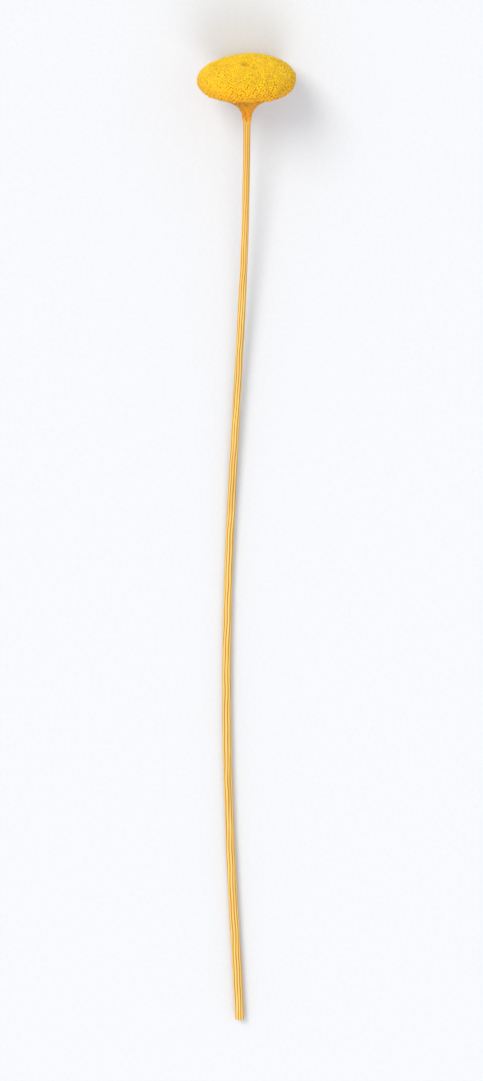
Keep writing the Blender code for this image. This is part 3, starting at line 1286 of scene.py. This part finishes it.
@dataclass(frozen=True)
class PaperyBracts(Finish):
    """Dry papery bracts that took the dye in the same bath.

    They are smooth thin scales, pressed close: to the eye a deeper orange than the florets, with
    fine lengthwise veins, paler papery edges and straw colour where they meet the stem.

    Attributes:
        roughness: Of dry paper.
        ior: Of dry cellulose.
        specular: Low, as dry paper scatters most of the light.
        cup, funnel, low, neck: Colours under the rim, halfway down, above the neck and at it.
        margin: Colour of the thin edges.
        vein: Distance between veins, coarser than the real one, about 0.08 mm, to show.
        vein_length: How far a vein keeps its shade.
        relief: Depth of the veins.
    """

    name: str = "papery_bracts"
    roughness: float = 0.66
    ior: float = 1.47
    specular: float = 0.15
    cup: str = "#EEAA28"
    funnel: str = "#E6981C"
    low: str = "#E29218"
    neck: str = "#E8AA3C"
    margin: str = "#F2BE4A"
    vein: float = 0.16 * MM
    vein_length: float = 4.0 * MM
    relief: float = 0.04 * MM

    def varied(self, tree: bpy.types.NodeTree) -> Inputs:
        """Adds the nodes that colour the bracts by depth, edge and vein.

        Args:
            tree: The material's nodes.

        Returns:
            What goes into the shader, besides the even values.
        """
        zone, edge, tone = (
            add_node(tree, "Attribute", {}, "Fac", attribute_name=name)
            for name in ("zone", "edge", "tone")
        )
        grain = add_node(tree, "Attribute", {}, "Vector", attribute_name="grain")
        scale = (MM / self.vein, MM / self.vein_length, 1.0)
        drawn_out = add_node(tree, "Mapping", {"Vector": grain, "Scale": scale})
        noise = {"Vector": drawn_out, "Scale": 1.0, "Detail": 2.0}
        veins = add_node(tree, "TexNoise", noise, "Fac")
        varied = add_node(tree, "Math", {0: tone, 1: veins}, operation="ADD")
        thin, bright = (
            add_node(tree, "MapRange", dict(zip(MAP_RANGE, row)))
            for row in ((edge, 0.60, 1.0, 0.0, 0.70), (varied, 0.2, 1.8, 0.80, 1.14))
        )
        by_depth = ((0.0, self.cup), (0.35, self.funnel), (0.80, self.low), (1.0, self.neck))
        colour = add_node(tree, "ValToRGB", {"Fac": zone}, "Color", by_depth)
        mixed = {MIX_FACTOR: thin, MIX_A: colour, MIX_B: linear(self.margin)}
        edged = add_node(tree, "Mix", mixed, MIX_RESULT, data_type="RGBA")
        bump = {"Height": veins, "Strength": 0.5, "Distance": self.relief}
        return {
            "Base Color": add_node(tree, "HueSaturation", {"Color": edged, "Value": bright}),
            "Normal": add_node(tree, "Bump", bump),
        }


@dataclass(frozen=True)
class DryStraw(Finish):
    """The dried wall of a herb's stem, bleached and dyed.

    Its skin is smooth and faintly waxy over long fibres: to the eye a glossy straw, paler on the
    ribs as painted highlight and amber in the furrows as painted shade, with long streaks of both
    and a golden cast under the head.

    Attributes:
        roughness: Of a dry waxy skin.
        ior: Of dry cellulose under wax.
        furrow, flank, crest: Colours in the furrows, on the flanks and on the ribs: painted shade in
        the furrows and painted highlight on the crests.
        golden: Cast near the head.
        golden_reach: Distance down the stem where that cast has gone.
        olive: Colour of the darker bands.
        fibre: Width and length of a streak of fibres, coarser than the real ones to show.
        band: Scale of the darker bands, across and along the stem, in bands to the millimetre.
        relief: Depth of the streaks.
    """

    name: str = "dry_straw"
    roughness: float = 0.48
    ior: float = 1.47
    furrow: str = "#9E6422"
    flank: str = "#D0A042"
    crest: str = "#E6C36C"
    golden: str = "#D8A03A"
    golden_reach: float = 60.0 * MM
    olive: str = "#A68236"
    fibre: Pair = (0.16 * MM, 9.0 * MM)
    band: Pair = (1.1, 0.030)
    relief: float = 0.07 * MM

    def varied(self, tree: bpy.types.NodeTree) -> Inputs:
        """Adds the nodes that colour the stem by streak and by distance from the head, with painted
        highlight on the ribs and painted shade in the furrows.

        Args:
            tree: The material's nodes.

        Returns:
            What goes into the shader, besides the even values.
        """
        painted_rib_light = add_node(tree, "Attribute", {}, "Fac", attribute_name="painted_rib_light")
        grain = add_node(tree, "Attribute", {}, "Vector", attribute_name="grain")
        width, length = self.fibre
        drawn_out = (
            add_node(tree, "Mapping", {"Vector": grain, "Scale": (across, across, down)})
            for across, down in ((MM / width, MM / length), self.band)
        )
        noise = {"Scale": 1.0, "Detail": 3.0, "Roughness": 0.6}
        streaks, bands = (
            add_node(tree, "TexNoise", {"Vector": place, **noise}, "Fac") for place in drawn_out
        )
        streaks_and_painted_rib_light = add_node(tree, "Math", {0: streaks, 1: painted_rib_light}, operation="ADD")
        below_head = add_node(tree, "SeparateXYZ", {"Vector": grain}, "Z")
        light, cast, dark = (
            add_node(tree, "MapRange", dict(zip(MAP_RANGE, row)))
            for row in (
                (streaks_and_painted_rib_light, 0.70, 1.50, 0.0, 1.0),
                (below_head, 0.0, self.golden_reach / MM, 0.55, 0.0),
                (bands, 0.52, 0.75, 0.0, 0.65),
            )
        )
        # The furrow colour is painted shade and the crest colour painted highlight; the fibre streaks
        # are the straw's own
        painted_light_by_rib = ((0.0, self.furrow), (0.50, self.flank), (1.0, self.crest))
        colour = add_node(tree, "ValToRGB", {"Fac": light}, "Color", painted_light_by_rib)
        for share, tint in ((cast, self.golden), (dark, self.olive)):
            mixed = {MIX_FACTOR: share, MIX_A: colour, MIX_B: linear(tint)}
            colour = add_node(tree, "Mix", mixed, MIX_RESULT, data_type="RGBA")
        bump = {"Height": streaks, "Strength": 0.6, "Distance": self.relief}
        return {"Base Color": colour, "Normal": add_node(tree, "Bump", bump)}


@dataclass(frozen=True)
class DryPith(Finish):
    """The spongy pith inside a dry stem, cut across with a blade.

    Its open cells scatter all light: to the eye it is a dull cream foam with darker pores.

    Attributes:
        roughness: Of a foam.
        cell: Size of a cell, coarser than the real one, about 0.08 mm, to show.
        foam, pore: Colours of the cells' walls and of the pores.
        relief: Depth of a pore.
    """

    name: str = "dry_pith"
    roughness: float = 0.92
    cell: float = 0.14 * MM
    foam: str = "#EBD9AE"
    pore: str = "#B98C4C"
    relief: float = 0.05 * MM

    def varied(self, tree: bpy.types.NodeTree) -> Inputs:
        """Adds the nodes that part the pith into walls and pores.

        Args:
            tree: The material's nodes.

        Returns:
            What goes into the shader, besides the even values.
        """
        place = add_node(tree, "TexCoord", {}, "Object")
        pattern = {"Vector": place, "Scale": 1.0 / self.cell}
        cells = add_node(tree, "TexVoronoi", pattern, "Distance")
        colours = ((0.10, self.pore), (0.45, self.foam))
        bump = {"Height": cells, "Strength": 0.7, "Distance": self.relief}
        return {
            "Base Color": add_node(tree, "ValToRGB", {"Fac": cells}, "Color", colours),
            "Normal": add_node(tree, "Bump", bump),
        }


@dataclass(frozen=True)
class PaleSweep(Finish):
    """A sheet of matt paper, as a studio lays under small things.

    To the eye it is an even, slightly cool white.

    Attributes:
        roughness, specular: Of uncoated paper.
        paper: Its colour, a light grey that the lamps bring to white.
        fleck: Its faintly darker flecks.
        fibre: Size of a fleck.
    """

    name: str = "pale_sweep"
    roughness: float = 0.95
    specular: float = 0.1
    paper: str = "#D1D3D6"
    fleck: str = "#CFD1D4"
    fibre: float = 1.2 * MM

    def varied(self, tree: bpy.types.NodeTree) -> Inputs:
        """Adds the nodes that fleck the paper.

        Args:
            tree: The material's nodes.

        Returns:
            What goes into the shader, besides the even values.
        """
        place = add_node(tree, "TexCoord", {}, "Object")
        noise = {"Vector": place, "Scale": 1.0 / self.fibre, "Detail": 2.0}
        flecks = add_node(tree, "TexNoise", noise, "Fac")
        colours = ((0.35, self.fleck), (0.65, self.paper))
        return {"Base Color": add_node(tree, "ValToRGB", {"Fac": flecks}, "Color", colours)}


@dataclass(frozen=True)
class Lamp:
    """A large, far-off soft lamp, which lights the whole floor evenly.

    Attributes:
        name: Its name.
        towards: Direction from the part to the lamp.
        width: The angle that it fills, as seen from the part.
        power: Watts for each square metre that faces it.
        colour: Its hex colour.
    """

    name: str
    towards: tuple[float, float, float]
    width: float
    power: float
    colour: str

    def light(self) -> None:
        """Hangs the lamp so that it faces the part."""
        data = bpy.data.lights.new(self.name, "SUN")
        data.angle = self.width
        data.energy = self.power
        data.color = linear(self.colour)[:3]
        lamp = bpy.data.objects.new(self.name, data)
        towards = Vector(self.towards).normalized()
        lamp.location = towards
        lamp.rotation_euler = towards.to_track_quat("Z", "Y").to_euler()
        bpy.context.scene.collection.objects.link(lamp)


LAMPS = (
    Lamp("key", (0.65, 0.50, 0.85), math.radians(28.0), 1.95, "#FFFAF2"),
    Lamp("front", (-0.75, -0.15, 0.75), math.radians(40.0), 1.0, "#FBFCFF"),
)


@dataclass
class Studio:
    """The floor, the lamps and the camera.

    The camera looks down on the stem with +X up in the picture. Its angle at the head adds to the
    head's nod, so that the disc is seen 21 degrees over its own plane, as in the photograph.

    Attributes:
        place: The head's place.
        view_over_disc: Angle of the view over the plane of the head's disc.
        distance: From the camera to the head.
        lens, sensor: Focal length and height of the sensor, in millimetres.
        aim: What the middle of the picture shows.
        floor_half: Half the side of the floor.
        floor_points: Points along its side.
        floor_drop: How far it lies below the part.
        sky, sky_colour: Strength and colour of the even light from all sides.
    """

    place: HeadPlace
    view_over_disc: float = math.radians(21.0)
    distance: float = 1.8
    lens: float = 208.0
    sensor: float = 36.0
    aim: tuple[float, float, float] = (0.0015, 0.0015, 0.0)
    floor_half: float = 9.0
    floor_points: int = 9
    floor_drop: float = 0.02 * MM
    sky: float = 0.86
    sky_colour: str = "#FBFCFF"

    def build(self) -> None:
        """Sets up the floor, the lamps, the even light and the camera."""
        self.floor()
        for lamp in LAMPS:
            lamp.light()
        world = bpy.data.worlds.new("even_light")
        world.use_nodes = True
        background = world.node_tree.nodes["Background"]
        background.inputs["Color"].default_value = linear(self.sky_colour)
        background.inputs["Strength"].default_value = self.sky
        bpy.context.scene.world = world
        bpy.context.scene.view_settings.view_transform = "Standard"
        self.camera()

    def floor(self) -> None:
        """Lays the floor just under the part, as a square grid."""
        count = self.floor_points
        line = np.linspace(-self.floor_half, self.floor_half, count)
        x, y = np.meshgrid(line, line, indexing="ij")
        points = np.stack((x, y, np.full_like(x, -self.floor_drop)), axis=-1).reshape(-1, 3)
        number = np.arange(count**2).reshape(count, count)
        cells = (number[:-1, :-1], number[1:, :-1], number[1:, 1:], number[:-1, 1:])
        faces = np.stack(cells, axis=-1).reshape(-1, 4)
        mesh_piece("floor", (points, [faces]), PaleSweep().make(), {})

    def camera(self) -> None:
        """Puts the camera over the head's side of the stem, with +X up in the picture."""
        tilt = self.view_over_disc - self.place.nod
        back = self.distance * np.array((math.sin(tilt), 0.0, math.cos(tilt)))
        location = Vector(self.place.centre + back)
        backward = (location - Vector(self.aim)).normalized()
        rightward = Vector((1.0, 0.0, 0.0)).cross(backward).normalized()
        upward = backward.cross(rightward)
        data = bpy.data.cameras.new("camera")
        data.sensor_fit = "VERTICAL"
        data.sensor_height = self.sensor
        data.lens = self.lens
        camera = bpy.data.objects.new("camera", data)
        turn = Matrix((rightward, upward, backward)).transposed()
        camera.matrix_world = Matrix.Translation(location) @ turn.to_4x4()
        bpy.context.scene.collection.objects.link(camera)
        bpy.context.scene.camera = camera


def main() -> None:
    """Builds the head, the involucre, the scape and the studio."""
    logging.basicConfig(level=logging.INFO, format="%(name)s: %(message)s")
    form = HeadForm()
    below = form.neck_depth + form.cup_gap
    place = HeadPlace.from_stem(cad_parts["stem"], math.radians(8.0), below)
    # The hairs are coloured paler than the florets, a painted highlight for the light that the fuzz
    # catches round the head's edge
    hair = DyedFlorets(
        furrow="#F0BE30", body="#F6CE48", lip="#FBDA60", pale="#FFE282",
        olive="#F0D25A", amber="#F6C24A", under="#F2B850", name="dyed_hairs_painted_highlight",
    )
    FloretHead(form, place, DyedFlorets().make(), hair.make()).build()
    Involucre(form, place, PaperyBracts().make()).build()
    Scape(place, below, DryStraw().make(), DryPith().make()).build()
    Studio(place).build()


if __name__ == "__main__":
    main()
